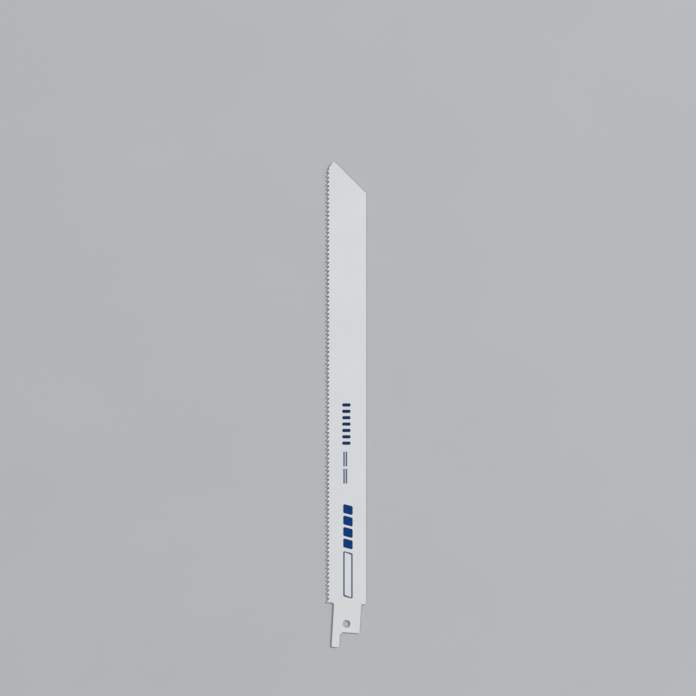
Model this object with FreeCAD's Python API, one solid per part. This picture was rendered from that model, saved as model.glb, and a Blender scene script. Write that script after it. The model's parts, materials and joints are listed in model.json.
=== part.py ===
import FreeCAD, Part

import math
import os

from FreeCAD import Vector

# Blade for a reciprocating saw, stamped from one steel strip, toothed and set.
# It lies flat: the origin is the centre of the shank's hole at half the thickness, +Y runs to the
# nose, +X to the back edge, so the teeth point to -X, and +Z is the upper side. All in millimetres.

# Whole blade
overall_length = 228.0
blade_width = 18.4
thickness = 0.9
back_edge_round = 0.15

# Teeth, which cut on the pull: the steep face of each looks towards the shank
tooth_pitch = 2.0
rake_angle = 3.0
relief_angle = 37.0
gullet_radius = 0.4

# Set: each tooth leans out of the strip, by turns to one side and to the other
set_lean = 0.2
bend_above_gullet = 0.25

# Nose
nose_angle = 45.0
nose_corner_radius = 0.95
nose_back_radius = 0.3
lead_angle = 35.0
lead_width = 3.2

# Shank, turned about its hole against the length of the blade
shank_cant = 3.3
shank_width = 12.7
hole_diameter = 3.6
hole_to_shoulder = 9.7
hole_to_heel = 4.0
heel_radius = 0.5
prong_width = 3.5
prong_length = 7.15
prong_end_radius = 0.75
prong_root_radius = 1.9
tooth_shoulder_radius = 1.2
back_shoulder_radius = 1.0
back_shoulder_corner_radius = 0.3

# Places that follow from the sizes
half_thickness = thickness / 2
back_x = blade_width / 2
tooth_line_x = -blade_width / 2
cant = math.radians(shank_cant)
rake = math.radians(rake_angle)
relief = math.radians(relief_angle)
prong_inner = prong_width - shank_width / 2
prong_end = hole_to_heel + prong_length

# Centre of the gullet's round, along the blade from its own tooth's tip and in from the tooth line.
# The round touches the back of this tooth and the steep face of the next one.
gullet_along = (
    (tooth_pitch - gullet_radius * math.tan(rake) / math.cos(relief) - gullet_radius / math.cos(rake))
    / (1 - math.tan(relief) * math.tan(rake))
)
gullet_in = gullet_along * math.tan(relief) - gullet_radius / math.cos(relief)
gullet_depth = gullet_in + gullet_radius
gullet_line_x = tooth_line_x + gullet_depth
bend_depth = gullet_depth - bend_above_gullet
lean_angle = math.atan2(set_lean, bend_depth)


def on_shank(across, down):
    """Point of the shank, across it towards the back and down it towards its end."""
    x = across * math.cos(cant) - down * math.sin(cant)
    y = -across * math.sin(cant) - down * math.cos(cant)
    return Vector(x, y, 0)


def shoulder_at(x):
    """Point of the shoulders' line, which is square to the shank, at a given x."""
    y = hole_to_shoulder / math.cos(cant) - x * math.tan(cant)
    return Vector(x, y, 0)


def nose_top():
    """Height of the nose over the hole: what the shank's end leaves of the overall length."""
    round_centre = on_shank(prong_inner - prong_end_radius, prong_end - prong_end_radius)
    return overall_length + round_centre.y - prong_end_radius


def nose_corner():
    """Sharp corner between the slanted nose and the lead, whose round reaches the nose's top."""
    slant_out = Vector(math.sin(math.radians(nose_angle)), -math.cos(math.radians(nose_angle)), 0)
    lead_out = Vector(-math.sin(math.radians(lead_angle)), -math.cos(math.radians(lead_angle)), 0)
    half_corner = slant_out.getAngle(lead_out) / 2
    inward = (slant_out + lead_out).normalize()
    top_over_centre = nose_corner_radius
    centre_under_corner = -inward.y * nose_corner_radius / math.sin(half_corner)
    return Vector(tooth_line_x + lead_width, nose_top() - top_over_centre + centre_under_corner, 0)


def nose_back():
    """Corner where the slanted nose meets the back edge."""
    corner = nose_corner()
    drop = (back_x - corner.x) / math.tan(math.radians(nose_angle))
    return Vector(back_x, corner.y - drop, 0)


def lead_at(x):
    """Point of the lead, the short slanted edge between the nose and the teeth, at a given x."""
    corner = nose_corner()
    drop = (corner.x - x) / math.tan(math.radians(lead_angle))
    return Vector(x, corner.y - drop, 0)


def rounded_wire(corners):
    """Closed wire through corner points, each rounded by its own radius where that isn't zero."""
    starts = []
    ends = []
    arcs = []
    count = len(corners)
    for index in range(count):
        point, radius = corners[index]
        to_last = (corners[index - 1][0] - point).normalize()
        to_next = (corners[(index + 1) % count][0] - point).normalize()
        half_corner = to_last.getAngle(to_next) / 2
        reach = radius / math.tan(half_corner)
        start = point + to_last * reach
        end = point + to_next * reach
        starts.append(start)
        ends.append(end)
        if radius > 0:
            inward = (to_last + to_next).normalize()
            middle = point + inward * (radius / math.sin(half_corner) - radius)
            arcs.append(Part.Arc(start, middle, end).toShape())
        else:
            arcs.append(None)
    edges = []
    for index in range(count):
        if arcs[index]:
            edges.append(arcs[index])
        edges.append(Part.makeLine(ends[index], starts[(index + 1) % count]))
    return Part.Wire(edges)


def outline_face(tooth_side_x):
    """Side view of the blade with a plain edge in place of the teeth, at the given x."""
    half_width = shank_width / 2
    corners = [
        (shoulder_at(tooth_side_x), 0),
        (on_shank(-half_width, -hole_to_shoulder), tooth_shoulder_radius),
        (on_shank(-half_width, prong_end), prong_end_radius),
        (on_shank(prong_inner, prong_end), prong_end_radius),
        (on_shank(prong_inner, hole_to_heel), prong_root_radius),
        (on_shank(half_width, hole_to_heel), heel_radius),
        (on_shank(half_width, -hole_to_shoulder), back_shoulder_radius),
        (shoulder_at(back_x), back_shoulder_corner_radius),
        (nose_back(), nose_back_radius),
        (nose_corner(), nose_corner_radius),
        (lead_at(tooth_side_x), 0),
    ]
    return Part.Face(rounded_wire(corners))


def through_strip(face, half_height):
    """Solid of a face drawn on the blade's middle plane, up and down by the same height."""
    low = face.translated(Vector(0, 0, -half_height))
    return low.extrude(Vector(0, 0, 2 * half_height))


def tooth_face():
    """Side view of one tooth from gullet to gullet, with its tip on the tooth line at y = 0."""
    last_centre = Vector(tooth_line_x + gullet_in, gullet_along - tooth_pitch, 0)
    own_centre = Vector(tooth_line_x + gullet_in, gullet_along, 0)
    tip = Vector(tooth_line_x, 0, 0)
    into_steep_face = Vector(-math.sin(rake), math.cos(rake), 0)
    into_back = Vector(math.cos(relief), -math.sin(relief), 0)
    into_strip = Vector(1, 0, 0)

    def on_round(centre, direction):
        return centre + direction.normalize() * gullet_radius

    last_bottom = on_round(last_centre, into_strip)
    steep_foot = on_round(last_centre, into_steep_face)
    back_foot = on_round(own_centre, into_back)
    own_bottom = on_round(own_centre, into_strip)
    edges = [
        Part.Arc(last_bottom, on_round(last_centre, into_strip + into_steep_face), steep_foot).toShape(),
        Part.makeLine(steep_foot, tip),
        Part.makeLine(tip, back_foot),
        Part.Arc(back_foot, on_round(own_centre, into_back + into_strip), own_bottom).toShape(),
        Part.makeLine(own_bottom, last_bottom),
    ]
    return Part.Face(Part.Wire(edges))


def set_strip(side):
    """Piece of strip as long as a tooth, bent to a side: 1 is up, -1 is down and 0 leaves it flat."""
    angle = side * lean_angle
    root_x = gullet_line_x
    bend = Vector(tooth_line_x + bend_depth, 0, 0)
    outward = Vector(-math.cos(angle), 0, math.sin(angle))
    upward = Vector(math.sin(angle), 0, math.cos(angle))
    bend_offset = Vector(math.tan(angle / 2), 0, 1)
    end = bend + outward * (bend_depth / math.cos(angle) + thickness)
    section = [
        Vector(root_x, 0, -half_thickness),
        bend - bend_offset * half_thickness,
        end - upward * half_thickness,
        end + upward * half_thickness,
        bend + bend_offset * half_thickness,
        Vector(root_x, 0, half_thickness),
    ]
    section.append(section[0])
    face = Part.Face(Part.makePolygon(section))
    face.translate(Vector(0, -tooth_pitch, 0))
    return face.extrude(Vector(0, 3 * tooth_pitch, 0))


def make_teeth():
    """All teeth: the first is cut by the shoulder, and the last, left flat, by the lead."""
    whole = through_strip(outline_face(tooth_line_x), thickness + set_lean)
    profile = through_strip(tooth_face(), thickness + set_lean)
    stock = {side: profile.common(set_strip(side)) for side in (-1, 0, 1)}
    first_tip = shoulder_at(tooth_line_x).y
    last_tip = lead_at(tooth_line_x).y
    full_teeth = math.floor((last_tip - first_tip) / tooth_pitch) + 1
    teeth = []
    for number in range(full_teeth + 1):
        if number == full_teeth:
            side = 0
        else:
            side = 1 - 2 * (number % 2)
        tooth = stock[side].translated(Vector(0, first_tip + number * tooth_pitch, 0))
        if number == 0 or number >= full_teeth - 1:
            tooth = tooth.common(whole)
        teeth.extend(tooth.Solids)
    return teeth


def strip_stock():
    """The strip before it is stamped: flat, with its back edge a little rounded."""
    start = -overall_length
    corners = [
        (Vector(tooth_line_x, start, -half_thickness), 0),
        (Vector(back_x, start, -half_thickness), back_edge_round),
        (Vector(back_x, start, half_thickness), back_edge_round),
        (Vector(tooth_line_x, start, half_thickness), 0),
    ]
    return Part.Face(rounded_wire(corners)).extrude(Vector(0, 3 * overall_length, 0))


def make_blade():
    """The blade: the plain strip, its teeth in one with it, and the hole of the shank."""
    strip = through_strip(outline_face(gullet_line_x), thickness).common(strip_stock())
    blade = strip.multiFuse(make_teeth()).removeSplitter()
    hole = Part.makeCylinder(hole_diameter / 2, 2 * thickness, Vector(0, 0, -thickness))
    return blade.cut(hole)


os.makedirs("parts", exist_ok=True)
make_blade().exportStep("parts/saw_blade.step")
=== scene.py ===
"""Painted saw blade for a reciprocating saw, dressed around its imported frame.

The blade is one closed skin. A rounded rim is carried along its outline, and its two sides are
patches ruled between stretches of that outline. The teeth lean out by a height that depends only on
the place in plan, so both sides and the rim share it. The print is a few thin plates of ink.
"""

import json
import math

import bmesh
import bpy
import numpy as np
from bpy.props import FloatProperty, FloatVectorProperty, IntProperty, PointerProperty
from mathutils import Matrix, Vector


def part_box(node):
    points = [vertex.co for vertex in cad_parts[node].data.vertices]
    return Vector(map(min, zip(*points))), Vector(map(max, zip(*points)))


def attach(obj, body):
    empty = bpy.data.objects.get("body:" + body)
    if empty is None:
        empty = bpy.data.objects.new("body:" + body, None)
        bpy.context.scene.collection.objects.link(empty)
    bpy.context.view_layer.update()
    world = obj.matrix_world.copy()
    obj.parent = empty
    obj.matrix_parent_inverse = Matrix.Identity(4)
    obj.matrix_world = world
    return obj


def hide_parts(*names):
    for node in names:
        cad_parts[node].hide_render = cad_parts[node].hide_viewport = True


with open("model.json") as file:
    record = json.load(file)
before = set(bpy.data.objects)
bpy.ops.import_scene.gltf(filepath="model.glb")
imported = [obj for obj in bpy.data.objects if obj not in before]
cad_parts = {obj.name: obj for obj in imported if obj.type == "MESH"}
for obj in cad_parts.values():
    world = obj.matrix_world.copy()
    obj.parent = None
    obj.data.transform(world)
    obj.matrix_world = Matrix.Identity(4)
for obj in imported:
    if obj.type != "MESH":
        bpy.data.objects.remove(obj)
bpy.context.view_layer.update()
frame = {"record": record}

bl_info = {
    "name": "Reciprocating saw blade",
    "version": (1, 0, 0),
    "blender": (4, 5, 0),
    "location": "View3D > Sidebar > Saw blade",
    "description": "Builds a painted saw blade, its print and a small studio around the packed frame",
    "category": "Object",
}

# What the frame says: its box, its node, the hole and the way down the shank
NODE = "saw_blade"
NODE_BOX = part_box(NODE)
MOUNTS = {mount["name"]: mount for mount in frame["record"]["mounts"]}
HOLE = MOUNTS["shank_hole"]["dims"]
SHANK_X, SHANK_Y = MOUNTS["shank"]["axis"][:2]

MM = 0.001
MICRON = 0.000001

# How finely the surfaces are divided, and how near to each other points are welded
SHANK_COLUMNS = 10
PRONG_COLUMNS = 6
HOLE_RINGS = 3
BAR_CORNER_PARTS = 6
WELD = 0.1 * MICRON

# The furthest round the topmost gullet that the lead may end
LAST_NIB_TURN = math.radians(80)

# Radius of a bar's corners as a share of its width, and of its edge as a share of the ink's film
BAR_CORNER = 0.15
INK_ROUND = 0.8


def length(name, description, default):
    """Property for a length in metres."""
    return FloatProperty(name=name, description=description, default=default, unit="LENGTH", precision=5)


def angle(name, description, degrees):
    """Property for an angle, given here in degrees."""
    return FloatProperty(
        name=name, description=description, default=math.radians(degrees), unit="ROTATION"
    )


def colour(name, description, default):
    """Property for a colour as it is seen on a screen."""
    return FloatVectorProperty(
        name=name, description=description, default=default, subtype="COLOR_GAMMA", min=0, max=1
    )


def share(name, description, default):
    """Property for a number from 0 to 1."""
    return FloatProperty(
        name=name, description=description, default=default, subtype="FACTOR", min=0, max=1
    )


def place(name, description, *default):
    """Property for a place or an offset, of two or three lengths in metres."""
    return FloatVectorProperty(
        name=name, description=description, default=default,
        size=len(default), subtype="XYZ", unit="LENGTH",
    )


def power(name, description, default):
    """Property for the power of a lamp, in watts."""
    return FloatProperty(name=name, description=description, default=default, unit="POWER")


class ToothSizes(bpy.types.PropertyGroup):
    """Form of the teeth, which are alike, and how they are set."""

    pitch: length("Pitch", "From one tip to the next", 2.0 * MM)
    rake: angle("Rake", "Undercut of the steep face", 3)
    relief: angle("Relief", "Fall of the tooth's back from the tooth line", 37)
    gullet_radius: length("Gullet radius", "Round at the bottom of each gullet", 0.4 * MM)
    lean: length("Set", "How far a tip leans out of the strip's middle", 0.2 * MM)
    bend_above_gullet: length("Bend", "From the gullet's bottom up to the bend", 0.25 * MM)
    columns: IntProperty(name="Columns", description="Quads across one tooth", default=2, min=1)


class BladeSizes(bpy.types.PropertyGroup):
    """Form of the blade, apart from its teeth. Its extents, hole and cant are those of the frame."""

    tooth_line: length("Tooth line", "Where the tips end, across the blade", NODE_BOX[0].x)
    back_edge: length("Back edge", "Where the back edge lies, across the blade", NODE_BOX[1].x)
    top: length("Top", "Height of the nose over the hole", NODE_BOX[1].y)
    thickness: length("Thickness", "Of the painted strip", HOLE["length_mm"] * MM)
    hole_radius: length("Hole radius", "Of the hole in the shank", HOLE["r_mm"] * MM)
    shank_cant: angle(
        "Cant", "Turn of the shank against the length", math.degrees(math.atan2(-SHANK_X, -SHANK_Y))
    )
    nose_angle: angle("Nose", "Slant of the nose against the length", 45)
    nose_radius: length("Nose radius", "Round of the nose's top", 0.95 * MM)
    nose_back_radius: length("Nose heel radius", "Round between nose and back edge", 0.3 * MM)
    lead_angle: angle("Lead", "Slant of the short edge over the teeth", 35)
    lead_width: length("Lead width", "From the tooth line in to the nose's corner", 3.2 * MM)
    shank_width: length("Shank width", "Across the shank", 12.7 * MM)
    shoulder: length("Shoulder", "From the hole up to the shoulders", 9.7 * MM)
    heel: length("Heel", "From the hole down to the shank's lower edge", 4.0 * MM)
    heel_radius: length("Heel radius", "Round of the shank's heel", 0.5 * MM)
    prong_width: length("Prong width", "Across the prong", 3.5 * MM)
    prong_length: length("Prong length", "From the lower edge to the prong's end", 7.15 * MM)
    prong_end_radius: length("Prong end radius", "Round of the prong's two corners", 0.75 * MM)
    prong_root_radius: length("Prong root radius", "Round between prong and heel", 1.9 * MM)
    tooth_shoulder_radius: length("Tooth shoulder radius", "Round under the teeth", 1.2 * MM)
    back_shoulder_radius: length("Back shoulder radius", "Round under the back edge", 1.0 * MM)
    back_corner_radius: length("Back corner radius", "Corner of the back shoulder", 0.3 * MM)
    strip_round: length("Strip round", "Rounding of the strip's back edge", 0.15 * MM)
    cut_round: length("Cut round", "Rounding of the stamped edges under the paint", 0.1 * MM)
    tooth_round: length("Tooth round", "Rounding of the teeth's edges under the paint", 0.02 * MM)


class PaintLook(bpy.types.PropertyGroup):
    """Finish of the enamel and of the steel that shows at the sharpest points."""

    enamel: colour("Enamel", "Colour of the paint", (0.833, 0.843, 0.846))
    cloud: length("Clouds", "Size of the paint's faint clouds of tone", 25 * MM)
    cloud_depth: share("Cloud depth", "How far the clouds' tone strays from the paint's", 0.008)
    speck: length("Specks", "Size of the paint's fine specks", 0.5 * MM)
    speck_depth: share("Speck depth", "How much darker the specks' own tone is", 0.2)
    speck_cover: share("Speck cover", "How much of that tone a speck takes at most", 0.05)
    roughness: share("Roughness", "Middle roughness of the enamel", 0.36)
    roughness_spread: share("Roughness spread", "How far the roughness strays from its middle", 0.05)
    sheen_patch: length("Sheen patches", "Size of the patches with more or less gloss", 6 * MM)
    peel: length("Peel", "Size of the paint's orange peel", 0.9 * MM)
    peel_height: length("Peel height", "Height of the paint's orange peel", 4 * MICRON)
    steel: colour("Steel", "Colour of bare steel at the tips", (0.56, 0.57, 0.58))
    bareness: share("Bareness", "How much steel shows where the paint is thinnest", 0.6)
    scuff: length("Scuffs", "Size of the spots where the steel shows", 0.25 * MM)


class PrintLook(bpy.types.PropertyGroup):
    """Colours and thickness of the print."""

    navy: colour("Navy", "Ink of the short bars", (0.04, 0.16, 0.34))
    blue: colour("Blue", "Ink of the solid bars", (0.00, 0.20, 0.45))
    slate: colour("Slate", "Ink of the fine lines and the hollow bar", (0.31, 0.37, 0.49))
    film: length("Film", "Thickness of the ink over the paint", 30 * MICRON)
    blot: length("Blots", "Size of the spots where the ink is thinner", 0.6 * MM)
    blot_white: share("Blot white", "How much white there is in the palest tone of the ink", 0.29)
    blot_cover: share("Blot cover", "How much of that tone a spot takes at most", 0.06)
    roughness: share("Roughness", "Middle roughness of the ink", 0.44)
    roughness_spread: share("Roughness spread", "How far the roughness strays from its middle", 0.06)
    gloss: share("Gloss", "Strength of the ink's reflections", 0.08)
    grain: length("Grain", "Size of the ink's grain", 0.3 * MM)
    grain_height: length("Grain height", "Height of the ink's grain", 2 * MICRON)


class PrintPlaces(bpy.types.PropertyGroup):
    """Places of the print's marks on the upper side, by their corners, and how they are divided."""

    short_from: place("Short bars from", "Lower corner of the row of short bars", -1.95 * MM, 84.2 * MM)
    short_to: place("Short bars to", "Upper corner of the row of short bars", 1.95 * MM, 103.7 * MM)
    short_count: IntProperty(name="Short bars", description="How many there are", default=7, min=1)
    fine_from: place("Fine lines from", "Lower corner of the fine lines", -1.45 * MM, 66.0 * MM)
    fine_to: place("Fine lines to", "Upper corner of the fine lines", 0.35 * MM, 81.0 * MM)
    fine_count: IntProperty(name="Fine dashes", description="How many each line has", default=2, min=1)
    solid_from: place("Solid bars from", "Lower corner of the solid bars", -1.5 * MM, 34.9 * MM)
    solid_to: place("Solid bars to", "Upper corner of the solid bars", 2.95 * MM, 56.5 * MM)
    solid_count: IntProperty(name="Solid bars", description="How many there are", default=4, min=1)
    hollow_from: place("Hollow bar from", "Lower corner of the hollow bar", -1.5 * MM, 11.8 * MM)
    hollow_to: place("Hollow bar to", "Upper corner of the hollow bar", 2.95 * MM, 34.4 * MM)
    slant: length("Slant", "How far the ends of the long bars drop towards the back", 1.2 * MM)
    short_gap: length("Short gap", "Between two short bars", 1.45 * MM)
    gap: length("Gap", "Between two solid bars, or two dashes of a fine line", 1.1 * MM)
    line_width: length("Line width", "Of the fine lines and around the hollow bar", 0.7 * MM)


class StudioLook(bpy.types.PropertyGroup):
    """Floor, light and camera."""

    floor: colour("Floor", "Colour of the floor", (0.70, 0.71, 0.72))
    floor_roughness: share("Floor roughness", "Roughness of the floor", 0.9)
    floor_gloss: share("Floor gloss", "Strength of the floor's reflections", 0.1)
    floor_reach: length("Floor reach", "From the middle of the floor to each side", 4.0)
    mottle: length("Mottle", "Size of the floor's faint mottle", 60 * MM)
    mottle_depth: share("Mottle depth", "How far the mottle's tone strays from the floor's", 0.005)
    surround: share("Surround", "Level of the light from all around", 0.4)
    lamp_size: length("Lamp size", "Side of each square lamp", 1.2)
    key_place: place("Key lamp", "Offset of the key lamp from the view's centre", 2.7, 1.4, 3.1)
    key_power: power("Key power", "Power of the key lamp", 138)
    fill_place: place("Fill lamp", "Offset of the fill lamp from the view's centre", -2.6, -1.6, 3.4)
    fill_power: power("Fill power", "Power of the fill lamp", 30)
    view_width: length("View width", "Width that the camera sees at the blade", 327.2 * MM)
    view_x: length("View centre X", "Middle of the view, across the blade", 0.75 * MM)
    view_y: length("View centre Y", "Middle of the view, along the blade", 129.7 * MM)
    lens: FloatProperty(name="Lens", description="Focal length", default=150, subtype="DISTANCE_CAMERA")


def unit(vector):
    """Vector of length one along the last axis."""
    return vector / np.linalg.norm(vector, axis=-1, keepdims=True)


def line(start, end, parts):
    """Points at even shares of a straight line, its end left out."""
    return start + (end - start) * (np.arange(parts) / parts)[:, None]


def corner_arc(before, corner, after, radius, parts):
    """Round of a corner between two neighbours, its end left out.

    The round's centre is on the corner's bisector, the radius over the sine of half the corner away.
    Its points turn evenly from the first tangent point to the last: these two, seen from the centre,
    have weights of sin((1 - t) * turn) and sin(t * turn), over sin(turn), as t goes from 0 to 1.
    """
    to_before = unit(before - corner)
    to_after = unit(after - corner)
    half = math.acos(float(to_before @ to_after)) / 2
    centre = corner + unit(to_before + to_after) * radius / math.sin(half)
    first = corner + to_before * radius / math.tan(half) - centre
    last = corner + to_after * radius / math.tan(half) - centre
    turn = math.pi - 2 * half
    t = (np.arange(parts) / parts)[:, None]
    return centre + (first * np.sin((1 - t) * turn) + last * np.sin(t * turn)) / math.sin(turn)


def corner_end(corner, after, before, radius):
    """Point where a corner's round runs out into the side towards the next point."""
    return corner_arc(after, corner, before, radius, 1)[0]


def ruled(left, right, shares):
    """Patch between two curves of as many points: a row is the straight line from one to the other."""
    return left[..., None, :] + (right - left)[..., None, :] * np.asarray(shares)[:, None]


def even(parts):
    """Shares from 0 to 1 in even parts."""
    return np.linspace(0, 1, parts + 1)


class Path:
    """Closed path in plan, with the material on its left, gathered stretch by stretch."""

    def __init__(self):
        self.stretches = []
        self.rounds = []
        self.marks = {}
        self.count = 0

    def add(self, points, rounding, mark=None):
        """Adds a stretch of points, and the radius by which the edge is rounded along it."""
        if mark:
            self.marks[mark] = self.count
        self.stretches.append(points)
        self.rounds.append(np.broadcast_to(rounding, len(points)))
        self.count += len(points)

    def close(self):
        """Works out the mitres: a mitre leads inwards, as far as keeps both sides one unit away."""
        self.points = np.concatenate(self.stretches)
        self.rounding = np.concatenate(self.rounds)
        ahead = unit(np.roll(self.points, -1, axis=0) - self.points)
        inward = np.stack([-ahead[:, 1], ahead[:, 0]], axis=1)
        before = np.roll(inward, 1, axis=0)
        self.mitre = (inward + before) / (1 + (inward * before).sum(axis=1))[:, None]
        self.inset = self.points + self.mitre * self.rounding[:, None]
        self.marks["end"] = self.count
        return self

    def between(self, first, last):
        """Inset points from one mark to another, both ends with them.

        The mark end is the path's start, once round.
        """
        return self.inset[np.arange(self.marks[first], self.marks[last] + 1) % self.count]


class Skin:
    """Closed surface around a middle surface, gathered grid by grid and welded where grids meet."""

    def __init__(self, half, middle):
        self.half = half
        self.middle = middle
        self.places = []
        self.normals = []
        self.bare = []
        self.quads = []
        self.count = 0

    def add_grid(self, places, normals, bare):
        """Adds one grid or a stack of them. Columns crossed with rows point out of the surface."""
        rows, columns = places.shape[-3:-1]
        corners = np.arange(places.size // 3).reshape(-1, rows, columns) + self.count
        quads = np.stack(
            [corners[:, :-1, :-1], corners[:, :-1, 1:], corners[:, 1:, 1:], corners[:, 1:, :-1]], axis=-1
        )
        self.places.append(places.reshape(-1, 3))
        self.normals.append(unit(normals).reshape(-1, 3))
        self.bare.append(np.broadcast_to(bare, places.shape[:-1]).ravel())
        self.quads.append(quads.reshape(-1, 4))
        self.count += places.size // 3

    def add_sides(self, plan):
        """Adds a patch in plan twice, as part of the upper and of the lower side.

        They lie half * sqrt(1 + slope^2) over and under the middle, which is half a thickness square
        to it. A patch that would face down has its rows turned round first.
        """
        across = np.diff(plan, axis=-2)[..., :-1, :, :]
        along = np.diff(plan, axis=-3)[..., :-1, :]
        if (across[..., 0] * along[..., 1] - across[..., 1] * along[..., 0]).sum() < 0:
            plan = plan[..., ::-1, :]
        height, slope, bare = self.middle(plan)
        reach = self.half * np.hypot(1, slope)
        up = np.stack([-slope, np.zeros_like(slope), np.ones_like(slope)], axis=-1)
        upper = np.concatenate([plan, (height + reach)[..., None]], axis=-1)
        lower = np.concatenate([plan, (height - reach)[..., None]], axis=-1)
        self.add_grid(upper, up, bare)
        self.add_grid(lower[..., ::-1, :], -up[..., ::-1, :], bare[..., ::-1])

    def add_rim(self, path):
        """Carries the rounded edge along a closed path.

        An angle a runs from 90 to 0 degrees over the upper round, and on to -90 over the lower one.
        A point lies the rounding times (1 - cos a) in from the path, and the rounding times sin a
        over the end of the upright wall between the two rounds.
        """
        turn = np.radians([90, 45, 0, 0, -45, -90])
        wall_end = np.array([1, 1, 1, -1, -1, -1])
        around = np.arange(path.count + 1) % path.count
        rounding = path.rounding[around, None]
        mitre = path.mitre[around, None]
        plan = path.points[around, None] + mitre * (rounding * (1 - np.cos(turn)))[..., None]
        height, slope, bare = self.middle(plan)
        reach = self.half * np.hypot(1, slope)
        rise = wall_end * (reach - rounding) + rounding * np.sin(turn)
        up = np.stack([-slope, np.zeros_like(slope), np.ones_like(slope)], axis=-1)
        outward = np.concatenate([-unit(mitre), np.zeros_like(mitre[..., :1])], axis=-1)
        normals = outward * np.cos(turn)[:, None] + up * np.sin(turn)[:, None]
        self.add_grid(np.concatenate([plan, (height + rise)[..., None]], axis=-1), normals, bare)

    def make_object(self, name, material):
        """Welds the grids into one mesh object, which rides on the frame."""
        mesh = bpy.data.meshes.new(name)
        mesh.from_pydata(np.concatenate(self.places), [], np.concatenate(self.quads).tolist())
        normal = mesh.attributes.new("skin_normal", "FLOAT_VECTOR", "POINT")
        normal.data.foreach_set("vector", np.concatenate(self.normals).ravel())
        bare = mesh.attributes.new("bare", "FLOAT", "POINT")
        bare.data.foreach_set("value", np.concatenate(self.bare))
        work = bmesh.new()
        work.from_mesh(mesh)
        bmesh.ops.remove_doubles(work, verts=work.verts, dist=WELD)
        work.to_mesh(mesh)
        work.free()
        normals = np.empty(len(mesh.vertices) * 3)
        mesh.attributes["skin_normal"].data.foreach_get("vector", normals)
        mesh.attributes.remove(mesh.attributes["skin_normal"])
        mesh.shade_smooth()
        mesh.normals_split_custom_set_from_vertices(normals.reshape(-1, 3))
        mesh.materials.append(material)
        piece = bpy.data.objects.new(name, mesh)
        bpy.context.scene.collection.objects.link(piece)
        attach(piece, "root")
        return piece


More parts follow.
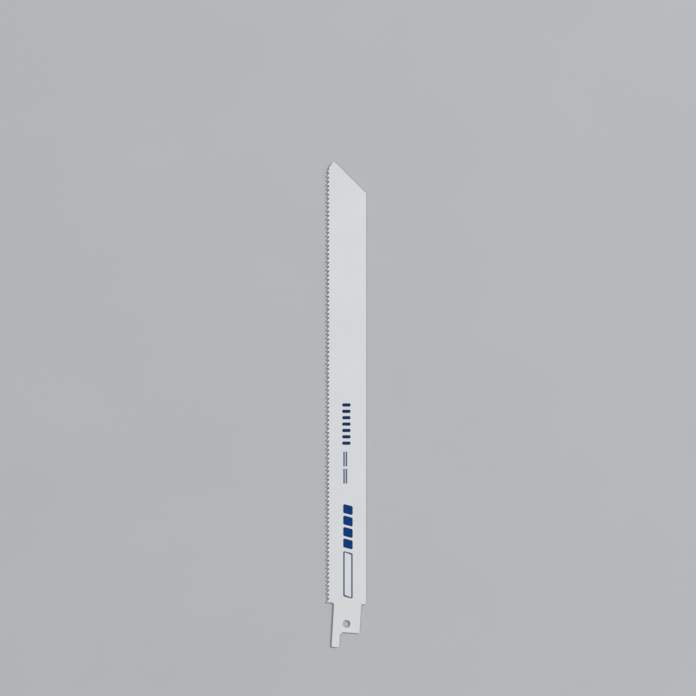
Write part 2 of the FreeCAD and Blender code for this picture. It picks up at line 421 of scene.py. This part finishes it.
class BladePlan:
    """Places of the blade in plan, worked out from its sizes and those of its teeth."""

    def __init__(self, sizes, tooth):
        self.sizes = sizes
        self.tooth = tooth
        self.tooth_line = sizes.tooth_line
        self.back = sizes.back_edge
        self.half = sizes.thickness / 2
        self.down = np.array([-math.sin(sizes.shank_cant), -math.cos(sizes.shank_cant)])
        self.across = np.array([-self.down[1], self.down[0]])
        self.first_tip = self.shoulder_y(self.tooth_line)
        self.place_gullet()
        self.place_nose()

    def place_gullet(self):
        """Centre of the gullet's round, along from the tooth's tip and in from the tooth line.

        It touches the back of its own tooth, along * tan(relief) deep, and the next steep face.
        """
        tooth = self.tooth
        radius = tooth.gullet_radius
        lost = radius * (math.tan(tooth.rake) / math.cos(tooth.relief) + 1 / math.cos(tooth.rake))
        self.gullet_along = (tooth.pitch - lost) / (1 - math.tan(tooth.relief) * math.tan(tooth.rake))
        self.gullet_in = self.gullet_along * math.tan(tooth.relief) - radius / math.cos(tooth.relief)
        self.gullet_depth = self.gullet_in + radius
        self.steep_foot = self.gullet_in - radius * math.sin(tooth.rake)
        self.bend_depth = self.gullet_depth - tooth.bend_above_gullet

    def place_nose(self):
        """The nose's sharp corner, placed so that its round just reaches the top of the blade.

        The round's centre lies its radius under the top, and the corner radius / sin(half) from that.
        """
        sizes = self.sizes
        slant = np.array([math.sin(sizes.nose_angle), -math.cos(sizes.nose_angle)])
        lead = np.array([-math.sin(sizes.lead_angle), -math.cos(sizes.lead_angle)])
        half = math.acos(float(slant @ lead)) / 2
        centre_drop = -unit(slant + lead)[1] * sizes.nose_radius / math.sin(half)
        self.nose = np.array(
            [self.tooth_line + sizes.lead_width, sizes.top - sizes.nose_radius + centre_drop]
        )
        self.lead = lead
        self.nose_back = self.slant_at_x(self.back)
        self.lead_end = self.nose[1] - sizes.lead_width / math.tan(sizes.lead_angle)
        self.tooth_count = math.floor((self.lead_end - self.first_tip) / self.tooth.pitch) + 1

    def slant_at_x(self, x):
        """Point of the slanted nose edge at a given x."""
        return np.array([x, self.nose[1] - (x - self.nose[0]) / math.tan(self.sizes.nose_angle)])

    def slant_at_y(self, y):
        """Point of the slanted nose edge at a given y."""
        return np.array([self.nose[0] + (self.nose[1] - y) * math.tan(self.sizes.nose_angle), y])

    def shoulder_y(self, x):
        """Height of the shoulders' line, square to the shank, at a given x."""
        start = -self.down * self.sizes.shoulder
        return start[1] + (x - start[0]) * self.across[1] / self.across[0]

    def shoulder(self, x):
        """Point of the shoulders' line at a given x."""
        return np.array([x, self.shoulder_y(x)])

    def on_shank(self, across, down):
        """Point of the shank, across it towards the back and down it towards its end."""
        return self.across * across + self.down * down

    def depths(self):
        """Rows of a tooth, in from the tooth line: down the straight faces, then round the gullet."""
        face_shares = np.array([0, 0.12, 0.55, 1])
        round_turn = np.radians([18, 36, 54, 72, 90])
        gullet_round = self.gullet_in + self.tooth.gullet_radius * np.sin(round_turn)
        return np.concatenate([face_shares * self.steep_foot, gullet_round])

    def round_reach(self, depth):
        """Half the width of the gullet's circle at a depth: sqrt(radius^2 - (depth - gullet_in)^2)."""
        return np.sqrt(np.maximum(self.tooth.gullet_radius**2 - (depth - self.gullet_in) ** 2, 0))

    def back_face(self, depth):
        """How far the tooth's back is along from its tip: depth / tan(relief), then the round."""
        foot = self.gullet_in + self.tooth.gullet_radius * math.cos(self.tooth.relief)
        straight = depth / math.tan(self.tooth.relief)
        return np.where(depth < foot, straight, self.gullet_along - self.round_reach(depth))

    def steep_face(self, depth):
        """How far the steep face is along from its tip: depth * tan(rake), then the round."""
        straight = depth * math.tan(self.tooth.rake)
        round_part = self.gullet_along - self.tooth.pitch + self.round_reach(depth)
        return np.where(depth <= self.steep_foot, straight, round_part)

    def tooth_points(self):
        """Teeth from the nose down, each from its gullet out to the tip and in under the steep face.

        The lowest tooth has no steep face of its own: the shoulder's line runs on to its tip.
        """
        depth = self.depths()
        tips = self.first_tip + self.tooth.pitch * np.arange(self.tooth_count)[::-1, None]
        backs = tips + self.back_face(depth)
        steeps = tips + self.steep_face(depth)
        steeps[-1] = self.shoulder_y(self.tooth_line + depth)
        along = np.concatenate([backs[:, ::-1], steeps[:, 1:-1]], axis=1)
        inward = np.concatenate([depth[::-1], depth[1:-1]]) + self.tooth_line
        return np.stack([np.broadcast_to(inward, along.shape), along], axis=-1).reshape(-1, 2)

    def nib(self, parts):
        """From the lead down to the topmost gullet's bottom, its end left out.

        The lead meets the steep face over that gullet at the depth where both are as far along. If
        that is further in than the face's foot, the lead ends on the gullet's round instead: as far
        down from the nose's corner as to abreast of the round's centre, less half the chord. It ends
        there before the gullet's bottom, at the latest at LAST_NIB_TURN, an angle round the gullet.
        """
        tooth = self.tooth
        next_tip = self.first_tip + self.tooth_count * tooth.pitch
        centre = np.array([
            self.tooth_line + self.gullet_in, next_tip - tooth.pitch + self.gullet_along
        ])
        over = next_tip - self.lead_end
        depth = over / (1 / math.tan(self.sizes.lead_angle) - math.tan(tooth.rake))
        if depth < self.steep_foot:
            before = [(self.tooth_line + depth, next_tip + depth * math.tan(tooth.rake))]
            start = -tooth.rake
        else:
            before = np.empty((0, 2))
            offset = self.nose - centre
            abreast = -float(self.lead @ offset)
            chord = max(abreast**2 - float(offset @ offset) + tooth.gullet_radius**2, 0)
            meeting = offset + self.lead * (abreast - math.sqrt(chord))
            start = min(math.atan2(meeting[0], meeting[1]), LAST_NIB_TURN)
        rest = parts - len(before)
        turn = start + (math.pi / 2 - start) * np.arange(rest) / rest
        arc = centre + tooth.gullet_radius * np.stack([np.sin(turn), np.cos(turn)], axis=-1)
        return np.concatenate([before, arc])

    def middle(self, plan):
        """Height and slope of the strip's middle, and how thin the paint is, at places in plan.

        out falls from 1 at the tooth line to 0 at the bend. The height is the lean times out, which
        is eased round the bend to (out + ease)^2 / (4 * ease) where out is within ease of 0. Teeth
        lean up and down by turns. The paint is thinnest at the tooth line, and full from a share of
        the gullets' depth further in.
        """
        ease = 0.2
        bare_share = 0.35
        tooth = self.tooth
        depth = plan[..., 0] - self.tooth_line
        out = 1 - depth / self.bend_depth
        ramp = np.where(out > ease, out, np.maximum(out + ease, 0) ** 2 / (4 * ease))
        ramp_slope = np.where(out > ease, 1, np.maximum(out + ease, 0) / (2 * ease))
        start = self.first_tip + self.gullet_along - tooth.pitch
        number = np.floor((plan[..., 1] - start) / tooth.pitch)
        side = np.where(number % 2 == 0, 1, -1) * (number >= 0) * (number < self.tooth_count)
        height = side * tooth.lean * ramp
        slope = -side * tooth.lean * ramp_slope / self.bend_depth
        bare = np.clip(1 - depth / (bare_share * self.gullet_depth), 0, 1) * (np.abs(side) > 0)
        return height, slope, bare


def blade_outline(plan):
    """Path around the blade, anticlockwise from the top of its nose, with marks where patches end.

    Its stretches are straight lines and the rounds between them. The two stretches that a patch is
    ruled between have as many points, so that some counts follow from others.
    """
    sizes = plan.sizes
    tooth = plan.tooth
    half_width = sizes.shank_width / 2
    prong_in = sizes.prong_width - half_width
    end = sizes.heel + sizes.prong_length
    cut = sizes.cut_round
    rows = plan.tooth_count * tooth.columns
    nose_parts = 4
    lead_parts = 4
    nib_parts = 5
    fillet_parts = 6
    corner_parts = 3
    heel_parts = 4
    prong_corner_parts = 5
    prong_inside_parts = 3
    tooth_side_parts = 12
    lower_edge_parts = 6
    back_side_parts = 10

    nose_round = corner_arc(
        plan.nose_back, plan.nose, plan.nose + plan.lead, sizes.nose_radius, 2 * nose_parts
    )
    lead_start = corner_end(plan.nose, plan.nose + plan.lead, plan.nose_back, sizes.nose_radius)
    slant_end = nose_round[0]
    nib = plan.nib(nib_parts)
    teeth = plan.tooth_points()
    root = plan.shoulder(plan.tooth_line + plan.gullet_depth)
    tooth_side_top = plan.on_shank(-half_width, -sizes.shoulder)
    back_side_top = plan.on_shank(half_width, -sizes.shoulder)
    gate = plan.on_shank(-half_width, sizes.heel)
    prong_end_tooth = plan.on_shank(-half_width, end)
    prong_end_in = plan.on_shank(prong_in, end)
    prong_root = plan.on_shank(prong_in, sizes.heel)
    heel = plan.on_shank(half_width, sizes.heel)
    back_shoulder = plan.shoulder(plan.back)

    def rounded(before, corner, after, radius, parts):
        """A corner's round, and the points where it starts and ends."""
        points = corner_arc(before, corner, after, radius, parts)
        return points, points[0], corner_end(corner, after, before, radius)

    tooth_fillet, fillet_start, fillet_end = rounded(
        root, tooth_side_top, gate, sizes.tooth_shoulder_radius, fillet_parts
    )
    prong_left, left_start, left_end = rounded(
        gate, prong_end_tooth, prong_end_in, sizes.prong_end_radius, prong_corner_parts
    )
    prong_right, right_start, right_end = rounded(
        prong_end_tooth, prong_end_in, prong_root, sizes.prong_end_radius, prong_corner_parts
    )
    root_fillet, root_start, root_end = rounded(
        prong_end_in, prong_root, heel, sizes.prong_root_radius, fillet_parts
    )
    heel_round, heel_start, heel_end = rounded(
        prong_root, heel, back_side_top, sizes.heel_radius, heel_parts
    )
    back_fillet, back_start, back_end = rounded(
        heel, back_side_top, back_shoulder, sizes.back_shoulder_radius, fillet_parts
    )
    corner, corner_start, corner_stop = rounded(
        back_side_top, back_shoulder, plan.nose_back, sizes.back_corner_radius, corner_parts
    )
    nose_heel, nose_heel_start, nose_heel_end = rounded(
        back_shoulder, plan.nose_back, plan.nose, sizes.nose_back_radius, corner_parts
    )
    level = plan.slant_at_y(plan.first_tip + (plan.tooth_count - 1) * tooth.pitch + plan.gullet_along)
    slant_rows = max(1, round((level[1] - nose_heel_end[1]) * tooth.columns / tooth.pitch))
    back_rows = rows - slant_rows - len(corner) - len(nose_heel)

    path = Path()
    path.add(nose_round[nose_parts:], cut, "nose")
    path.add(line(lead_start, nib[0], lead_parts), cut)
    path.add(nib, sizes.tooth_round)
    path.add(teeth, sizes.tooth_round, "teeth")
    path.add(line(root, fillet_start, 1), sizes.tooth_round, "root")
    path.add(tooth_fillet, np.linspace(sizes.tooth_round, cut, len(tooth_fillet)), "tooth fillet")
    path.add(line(fillet_end, gate, tooth_side_parts), cut, "tooth side")
    path.add(line(gate, left_start, prong_inside_parts + fillet_parts), cut, "gate")
    path.add(prong_left, cut)
    path.add(line(left_end, right_start, PRONG_COLUMNS), cut, "prong end")
    path.add(prong_right, cut, "prong inside")
    path.add(line(right_end, root_start, prong_inside_parts), cut)
    path.add(root_fillet, cut)
    path.add(line(root_end, heel_start, lower_edge_parts), cut, "lower edge")
    path.add(heel_round, cut)
    path.add(line(heel_end, back_start, back_side_parts), cut)
    path.add(back_fillet, cut, "back fillet")
    path.add(line(back_end, corner_start, 1), cut, "back shoulder")
    path.add(corner, np.linspace(cut, sizes.strip_round, len(corner)), "back")
    path.add(line(corner_stop, nose_heel_start, back_rows), sizes.strip_round)
    path.add(nose_heel, np.linspace(sizes.strip_round, cut, len(nose_heel)))
    path.add(line(nose_heel_end, level, slant_rows), cut)
    path.add(line(level, slant_end, lead_parts + nib_parts), cut, "level")
    path.add(nose_round[:nose_parts], cut)
    return path.close()


def hole_outline(plan, around, first_turn):
    """Path around the hole, clockwise, so that the material is on its left."""
    turn = first_turn - 2 * math.pi * np.arange(around) / around
    path = Path()
    circle = plan.sizes.hole_radius * np.stack([np.cos(turn), np.sin(turn)], axis=-1)
    path.add(circle, plan.sizes.cut_round, "start")
    return path.close()


def blade_skin(plan):
    """Skin of the blade: teeth, body, nose, shank and prong, and the rims of outline and hole.

    The body's inner columns take the shank's share of the width, and go on down the shank. Along the
    path each tooth has as many points up to its tip as from there on to the next tooth.
    """
    columns = plan.tooth.columns
    path = blade_outline(plan)
    skin = Skin(plan.half, plan.middle)
    skin.add_rim(path)

    rows = len(plan.depths()) - 1
    tip = path.marks["teeth"] + rows + 2 * rows * np.arange(plan.tooth_count)[:, None]
    backs = path.inset[tip - np.arange(rows + 1)]
    steeps = path.inset[tip + np.arange(rows + 1)]
    teeth = ruled(backs, steeps, even(columns))
    skin.add_sides(teeth)

    tooth_fillet = path.between("tooth fillet", "tooth side")
    back_fillet = path.between("back fillet", "back shoulder")[::-1]
    neck = ruled(tooth_fillet, back_fillet, even(SHANK_COLUMNS))
    skin.add_sides(neck)

    roots = np.concatenate([teeth[:, -1, :-1].reshape(-1, 2), steeps[-1, -1:]])
    back = path.between("back", "level")[::-1]
    beside = (1 - plan.sizes.shank_width / (plan.back - plan.tooth_line)) / 2
    shares = np.concatenate([[0], np.linspace(beside, 1 - beside, SHANK_COLUMNS + 1), [1]])
    body = ruled(roots, back, shares)
    body[-1, 1:-1] = neck[0]
    skin.add_sides(body)

    nose_tooth_side = path.between("nose", "teeth")
    nose_back_side = path.between("level", "end")[::-1]
    skin.add_sides(ruled(nose_tooth_side, nose_back_side, shares))

    prong_tooth_side = path.between("gate", "prong end")
    prong_inside = path.between("prong inside", "lower edge")[::-1]
    prong = ruled(prong_tooth_side, prong_inside, even(PRONG_COLUMNS))
    prong[-1] = path.between("prong end", "prong inside")
    skin.add_sides(prong)

    ring = np.concatenate([
        path.between("tooth side", "gate")[:-1],
        prong[0, :-1],
        path.between("lower edge", "back fillet")[:-1],
        neck[-1, ::-1],
    ])
    hole = hole_outline(plan, len(ring) - 1, math.atan2(ring[0, 1], ring[0, 0]))
    skin.add_rim(hole)
    skin.add_sides(ruled(hole.between("start", "end")[::-1], ring, even(HOLE_RINGS)))
    return skin


def node_tree(material):
    """Empty node tree of a material, with a Principled shader on its output."""
    material.use_nodes = True
    nodes = material.node_tree.nodes
    nodes.clear()
    output = nodes.new("ShaderNodeOutputMaterial")
    shader = nodes.new("ShaderNodeBsdfPrincipled")
    material.node_tree.links.new(shader.outputs["BSDF"], output.inputs["Surface"])
    return nodes, material.node_tree.links, shader


def linear(seen):
    """Colour as light, with alpha, from a colour as it is seen on a screen, by the sRGB curve.

    It is seen / 12.92 near black, and ((seen + 0.055) / 1.055)^2.4 from 0.04045 up.
    """
    seen = np.array(seen)
    light = np.where(seen <= 0.04045, seen / 12.92, ((seen + 0.055) / 1.055) ** 2.4)
    return (*light, 1)


def noise(nodes, links, size, detail):
    """Even noise in the object's own space, with features of a given size."""
    place = nodes.new("ShaderNodeTexCoord")
    grain = nodes.new("ShaderNodeTexNoise")
    grain.inputs["Scale"].default_value = 1 / size
    grain.inputs["Detail"].default_value = detail
    links.new(place.outputs["Object"], grain.inputs["Vector"])
    return grain.outputs["Fac"]


def spread(nodes, links, value, low, high):
    """Value that is mostly from 0.3 to 0.7, spread from one number to another."""
    span = nodes.new("ShaderNodeMapRange")
    span.inputs["From Min"].default_value = 0.3
    span.inputs["From Max"].default_value = 0.7
    span.inputs["To Min"].default_value = low
    span.inputs["To Max"].default_value = high
    links.new(value, span.inputs["Value"])
    return span.outputs["Result"]


def multiplied(nodes, links, first, second):
    """Product of two values."""
    product = nodes.new("ShaderNodeMath")
    product.operation = "MULTIPLY"
    links.new(first, product.inputs[0])
    links.new(second, product.inputs[1])
    return product.outputs["Value"]


def blended(nodes, links, factor, first, second):
    """Colour between two, each of them a fixed colour or an output of another node."""
    mix = nodes.new("ShaderNodeMix")
    mix.data_type = "RGBA"
    links.new(factor, mix.inputs["Factor"])
    for source, socket in ((first, mix.inputs["A"]), (second, mix.inputs["B"])):
        if isinstance(source, bpy.types.NodeSocket):
            links.new(source, socket)
        else:
            socket.default_value = source
    return mix.outputs["Result"]


def bumped(nodes, links, shader, height, distance):
    """Leads a height, over a distance in metres, to the shader's normal."""
    bump = nodes.new("ShaderNodeBump")
    bump.inputs["Distance"].default_value = distance
    links.new(height, bump.inputs["Height"])
    links.new(bump.outputs["Normal"], shader.inputs["Normal"])


def enamel_material(look):
    """White enamel: faint clouds of tone, orange peel, and steel where the teeth are sharpest."""
    material = bpy.data.materials.new("enamel_white")
    nodes, links, shader = node_tree(material)
    paint = np.array(look.enamel)
    clouds = spread(nodes, links, noise(nodes, links, look.cloud, detail=3), 0, 1)
    low = linear(paint * (1 - look.cloud_depth))
    high = linear(paint * (1 + look.cloud_depth))
    tone = blended(nodes, links, clouds, low, high)
    specks = spread(nodes, links, noise(nodes, links, look.speck, detail=2), 0, look.speck_cover)
    tone = blended(nodes, links, specks, tone, linear(paint * (1 - look.speck_depth)))

    thin = nodes.new("ShaderNodeAttribute")
    thin.attribute_name = "bare"
    scuffs = spread(nodes, links, noise(nodes, links, look.scuff, detail=3), 0, look.bareness)
    bare = multiplied(nodes, links, thin.outputs["Fac"], scuffs)
    links.new(blended(nodes, links, bare, tone, linear(look.steel)), shader.inputs["Base Color"])
    links.new(bare, shader.inputs["Metallic"])

    patches = noise(nodes, links, look.sheen_patch, detail=4)
    smooth = look.roughness - look.roughness_spread
    rough = look.roughness + look.roughness_spread
    links.new(spread(nodes, links, patches, smooth, rough), shader.inputs["Roughness"])
    bumped(nodes, links, shader, noise(nodes, links, look.peel, detail=1), look.peel_height)
    return material


def ink_material(name, ink, look):
    """Printed ink: a little uneven in cover, and flatter than the paint under it."""
    material = bpy.data.materials.new(name)
    nodes, links, shader = node_tree(material)
    blots = noise(nodes, links, look.blot, detail=4)
    cover = spread(nodes, links, blots, 0, look.blot_cover)
    paler = np.array(ink) * (1 - look.blot_white) + look.blot_white
    links.new(blended(nodes, links, cover, linear(ink), linear(paler)), shader.inputs["Base Color"])
    smooth = look.roughness - look.roughness_spread
    rough = look.roughness + look.roughness_spread
    links.new(spread(nodes, links, blots, smooth, rough), shader.inputs["Roughness"])
    shader.inputs["Specular IOR Level"].default_value = look.gloss
    bumped(nodes, links, shader, noise(nodes, links, look.grain, detail=2), look.grain_height)
    return material


def floor_material(look):
    """Plain matt floor with a faint mottle."""
    material = bpy.data.materials.new("floor_matt")
    nodes, links, shader = node_tree(material)
    mottle = spread(nodes, links, noise(nodes, links, look.mottle, detail=3), 0, 1)
    low = linear(np.array(look.floor) * (1 - look.mottle_depth))
    high = linear(np.array(look.floor) * (1 + look.mottle_depth))
    links.new(blended(nodes, links, mottle, low, high), shader.inputs["Base Color"])
    shader.inputs["Roughness"].default_value = look.floor_roughness
    shader.inputs["Specular IOR Level"].default_value = look.floor_gloss
    return material


def bar_path(low, high, slant, inwards, rounding, ink_inside):
    """Outline of a bar with slanted ends and round corners, drawn a distance in from its full size.

    The corners' radius is a set share of the bar's width, less half of that distance. The outline
    runs anticlockwise if the ink is inside it, and clockwise if the ink is around it.
    """
    left = low[0] + inwards
    right = high[0] - inwards
    bottom = low[1] + inwards
    top = high[1] - inwards
    corners = np.array([(left, bottom + slant), (right, bottom), (right, top - slant), (left, top)])
    radius = BAR_CORNER * (high[0] - low[0]) - inwards / 2
    rounds = []
    for index in range(4):
        before, corner, after = corners[index - 1], corners[index], corners[(index + 1) % 4]
        rounds.append(corner_arc(before, corner, after, radius, BAR_CORNER_PARTS))
        rounds.append(corner_end(corner, after, before, radius)[None])
    points = np.concatenate(rounds)
    path = Path()
    path.add(points if ink_inside else points[::-1], rounding, "start")
    return path.close()


def add_bar(skin, low, high, slant, line_width):
    """Adds a bar of ink: solid, or a line of a given width around its edge if that isn't zero."""
    rounding = INK_ROUND * skin.half
    outer = bar_path(low, high, slant, 0, rounding, True)
    skin.add_rim(outer)
    edge = outer.between("start", "end")
    if line_width:
        inner = bar_path(low, high, slant, line_width, rounding, False)
        skin.add_rim(inner)
        last = inner.inset[::-1]
        inside = np.concatenate([last, last[:1]])
    else:
        inside = np.broadcast_to(outer.points.mean(axis=0), edge.shape)
    skin.add_sides(ruled(inside, edge, even(1)))


def add_bars(skin, low, high, count, gap, slant, line_width=0):
    """Adds a row of like bars along the blade, with gaps between them."""
    size = (high[1] - low[1] - slant - gap * (count - 1)) / count
    for number in range(count):
        start = low[1] + number * (size + gap)
        add_bar(skin, (low[0], start), (high[0], start + size + slant), slant, line_width)


def ink_skin(surface, film):
    """Empty skin for ink that lies on the blade's upper side and reaches as far into it."""

    def middle(plan):
        """Height and slope of the paint's flat surface, and no bareness."""
        level = np.full(plan.shape[:-1], surface)
        zero = np.zeros_like(level)
        return level, zero, zero

    return Skin(film, middle)


class SAWBLADE_OT_make_blade(bpy.types.Operator):
    """Build the painted blade as one closed skin"""

    bl_idname = "sawblade.make_blade"
    bl_label = "Painted blade"

    def execute(self, context):
        scene = context.scene
        plan = BladePlan(scene.saw_blade_sizes, scene.saw_blade_teeth)
        blade = blade_skin(plan).make_object("painted_blade", enamel_material(scene.saw_blade_paint))
        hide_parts(NODE)
        return {"FINISHED"}


class SAWBLADE_OT_make_print(bpy.types.Operator):
    """Build the print on the upper side: plain bars and lines of ink"""

    bl_idname = "sawblade.make_print"
    bl_label = "Print"

    def execute(self, context):
        scene = context.scene
        look = scene.saw_blade_print
        places = scene.saw_blade_print_places
        half = scene.saw_blade_sizes.thickness / 2
        width = places.line_width
        navy = ink_material("ink_navy", look.navy, look)
        blue = ink_material("ink_blue", look.blue, look)
        slate = ink_material("ink_slate", look.slate, look)

        short = ink_skin(half, look.film)
        add_bars(short, places.short_from, places.short_to, places.short_count, places.short_gap, 0)
        short.make_object("print_short_bars", navy)

        fine = ink_skin(half, look.film)
        first_end = (places.fine_from[0] + width, places.fine_to[1])
        second_start = (places.fine_to[0] - width, places.fine_from[1])
        add_bars(fine, places.fine_from, first_end, places.fine_count, places.gap, 0)
        add_bars(fine, second_start, places.fine_to, places.fine_count, places.gap, 0)
        fine.make_object("print_fine_lines", slate)

        solid = ink_skin(half, look.film)
        add_bars(
            solid, places.solid_from, places.solid_to, places.solid_count, places.gap, places.slant
        )
        solid.make_object("print_solid_bars", blue)

        hollow = ink_skin(half, look.film)
        add_bars(hollow, places.hollow_from, places.hollow_to, 1, 0, places.slant, width)
        hollow.make_object("print_hollow_bar", slate)
        return {"FINISHED"}


class SAWBLADE_OT_make_studio(bpy.types.Operator):
    """Build the floor, the soft light and the camera that looks straight down"""

    bl_idname = "sawblade.make_studio"
    bl_label = "Studio"

    def execute(self, context):
        look = context.scene.saw_blade_studio
        self.make_floor(context, look)
        self.make_light(context, look)
        self.make_camera(context, look)
        context.scene.view_settings.view_transform = "Standard"
        return {"FINISHED"}

    def make_floor(self, context, look):
        """A square floor just under the lowest points of the teeth."""
        reach = look.floor_reach
        level = NODE_BOX[0].z
        turns = [(-1, -1), (1, -1), (1, 1), (-1, 1)]
        mesh = bpy.data.meshes.new("floor")
        mesh.from_pydata([(x * reach, y * reach, level) for x, y in turns], [], [(0, 1, 2, 3)])
        mesh.materials.append(floor_material(look))
        floor = bpy.data.objects.new("floor", mesh)
        context.scene.collection.objects.link(floor)

    def make_light(self, context, look):
        """An even surround and two wide soft lamps, aimed at the middle of the blade."""
        world = bpy.data.worlds.new("surround")
        world.use_nodes = True
        background = world.node_tree.nodes["Background"]
        background.inputs["Color"].default_value = (look.surround, look.surround, look.surround, 1)
        context.scene.world = world
        self.make_lamp(context, look, "key_lamp", look.key_place, look.key_power)
        self.make_lamp(context, look, "fill_lamp", look.fill_place, look.fill_power)

    def make_lamp(self, context, look, name, offset, energy):
        """One square lamp, an offset away from the view's centre and aimed at it."""
        lamp = bpy.data.lights.new(name, "AREA")
        lamp.size = look.lamp_size
        lamp.energy = energy
        holder = bpy.data.objects.new(name, lamp)
        holder.location = Vector((look.view_x, look.view_y, 0)) + offset
        holder.rotation_euler = (-offset).to_track_quat("-Z", "Y").to_euler()
        context.scene.collection.objects.link(holder)

    def make_camera(self, context, look):
        """A long lens straight over the blade, with its nose upwards in the frame."""
        camera = bpy.data.cameras.new("camera")
        camera.lens = look.lens
        distance = look.view_width * camera.lens / camera.sensor_width
        holder = bpy.data.objects.new("camera", camera)
        holder.location = (look.view_x, look.view_y, distance)
        context.scene.collection.objects.link(holder)
        context.scene.camera = holder


class SAWBLADE_PT_builder(bpy.types.Panel):
    """Panel with the steps that build the blade, and the sizes and colours that they take"""

    bl_idname = "SAWBLADE_PT_builder"
    bl_label = "Saw blade"
    bl_space_type = "VIEW_3D"
    bl_region_type = "UI"
    bl_category = "Saw blade"

    def draw(self, context):
        for operator in OPERATORS:
            self.layout.operator(operator.bl_idname)
        for name, group in GROUPS.items():
            box = self.layout.box()
            for setting in group.__annotations__:
                box.prop(getattr(context.scene, name), setting)


GROUPS = {
    "saw_blade_teeth": ToothSizes,
    "saw_blade_sizes": BladeSizes,
    "saw_blade_paint": PaintLook,
    "saw_blade_print": PrintLook,
    "saw_blade_print_places": PrintPlaces,
    "saw_blade_studio": StudioLook,
}
OPERATORS = (SAWBLADE_OT_make_blade, SAWBLADE_OT_make_print, SAWBLADE_OT_make_studio)


def register():
    """Registers the settings, the steps and the panel."""
    for group in GROUPS.values():
        bpy.utils.register_class(group)
    for operator in OPERATORS:
        bpy.utils.register_class(operator)
    bpy.utils.register_class(SAWBLADE_PT_builder)
    for name, group in GROUPS.items():
        setattr(bpy.types.Scene, name, PointerProperty(type=group))


def unregister():
    """Takes back what register() did."""
    for name in GROUPS:
        delattr(bpy.types.Scene, name)
    bpy.utils.unregister_class(SAWBLADE_PT_builder)
    for operator in OPERATORS:
        bpy.utils.unregister_class(operator)
    for group in GROUPS.values():
        bpy.utils.unregister_class(group)


def main():
    """Builds everything."""
    register()
    bpy.ops.sawblade.make_blade()
    bpy.ops.sawblade.make_print()
    bpy.ops.sawblade.make_studio()


if __name__ == "__main__":
    main()
